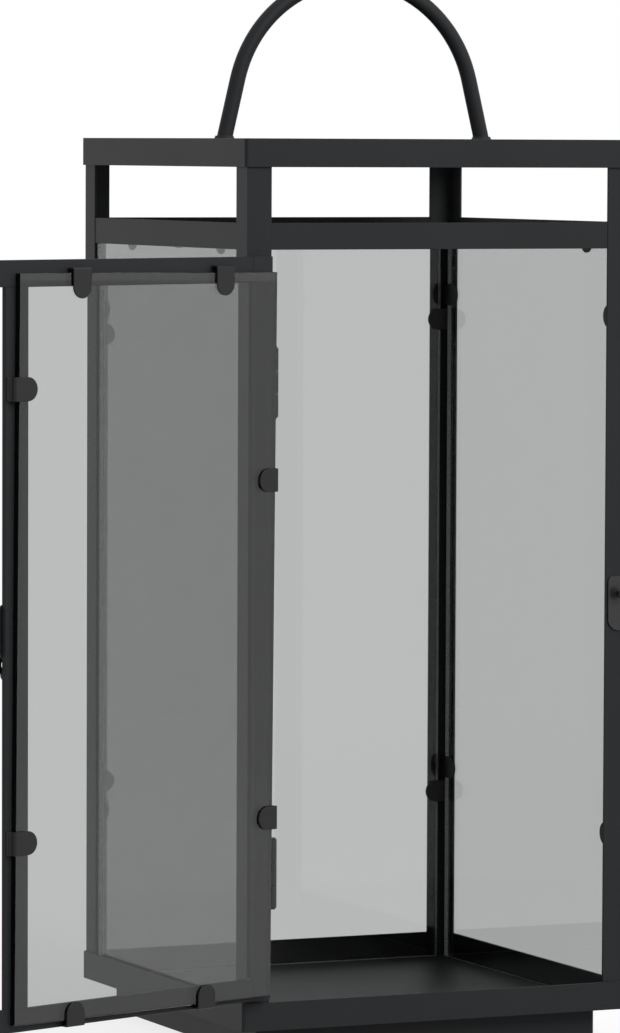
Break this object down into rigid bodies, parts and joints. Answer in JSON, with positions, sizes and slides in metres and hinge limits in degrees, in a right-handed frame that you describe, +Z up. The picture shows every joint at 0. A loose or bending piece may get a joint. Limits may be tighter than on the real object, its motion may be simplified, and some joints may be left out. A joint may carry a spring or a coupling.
{
  "type": "lantern",
  "caption": "Tall square floor lantern for a candle: black angle frame, fixed glass panes, a glazed hinged door with a hook latch, a vented cap and a hoop handle.",
  "frame": {"origin": "centre of the tray's floor, on the lantern's upright middle line, where the candle stands; the plinth's underside is 19.5 mm lower", "axes": "+Z up; -Y to the front, where the door is; +X to the right as seen from the front, where the door latches"},
  "size_m": [0.4296, 0.3209, 0.6151],
  "materials": {
    "black_powder_coat": "matte to satin black powder coat",
    "black_hardware": "satin black lacquered steel hardware",
    "clear_glass": "clear float glass with ground edges"
  },
  "bodies": {
    "lantern": {"top_cap": "black_powder_coat", "handle": "black_powder_coat", "handle_collars": "black_powder_coat", "handle_screws": "black_hardware", "post_front_left": "black_powder_coat", "post_front_right": "black_powder_coat", "post_back_left": "black_powder_coat", "post_back_right": "black_powder_coat", "header_rail_front": "black_powder_coat", "header_rail_back": "black_powder_coat", "header_rail_left": "black_powder_coat", "header_rail_right": "black_powder_coat", "base_tray": "black_powder_coat", "plinth": "black_powder_coat", "glass_left": "clear_glass", "glass_right": "clear_glass", "glass_back": "clear_glass", "clips_left": "black_powder_coat", "clips_right": "black_powder_coat", "clips_back": "black_powder_coat", "hinge_leaves_frame": "black_hardware", "hinge_pins": "black_hardware", "hinge_rivets_frame": "black_hardware", "keeper_plate": "black_hardware", "keeper_stud": "black_hardware"},
    "door": {"door_hinge_stile": "black_powder_coat", "door_latch_stile": "black_powder_coat", "door_top_rail": "black_powder_coat", "door_bottom_rail": "black_powder_coat", "door_glass": "clear_glass", "door_clips": "black_powder_coat", "hinge_leaves_door": "black_hardware", "hinge_rivets_door": "black_hardware", "latch_plate": "black_hardware", "hook_rivet": "black_hardware"},
    "hook": {"latch_hook": "black_hardware"}
  },
  "joints": [
    {"name": "door_hinge", "type": "hinge", "parent": "lantern", "child": "door", "pos_m": [-0.105, -0.123, 0.225], "axis": [0, 0, 1], "range_deg": [-5, 160]},
    {"name": "hook_pivot", "type": "hinge", "parent": "door", "child": "hook", "pos_m": [-0.28941, -0.18735, 0.2387], "axis": [-0.342, 0.9397, 0], "range_deg": [-60, 115]}
  ]
}
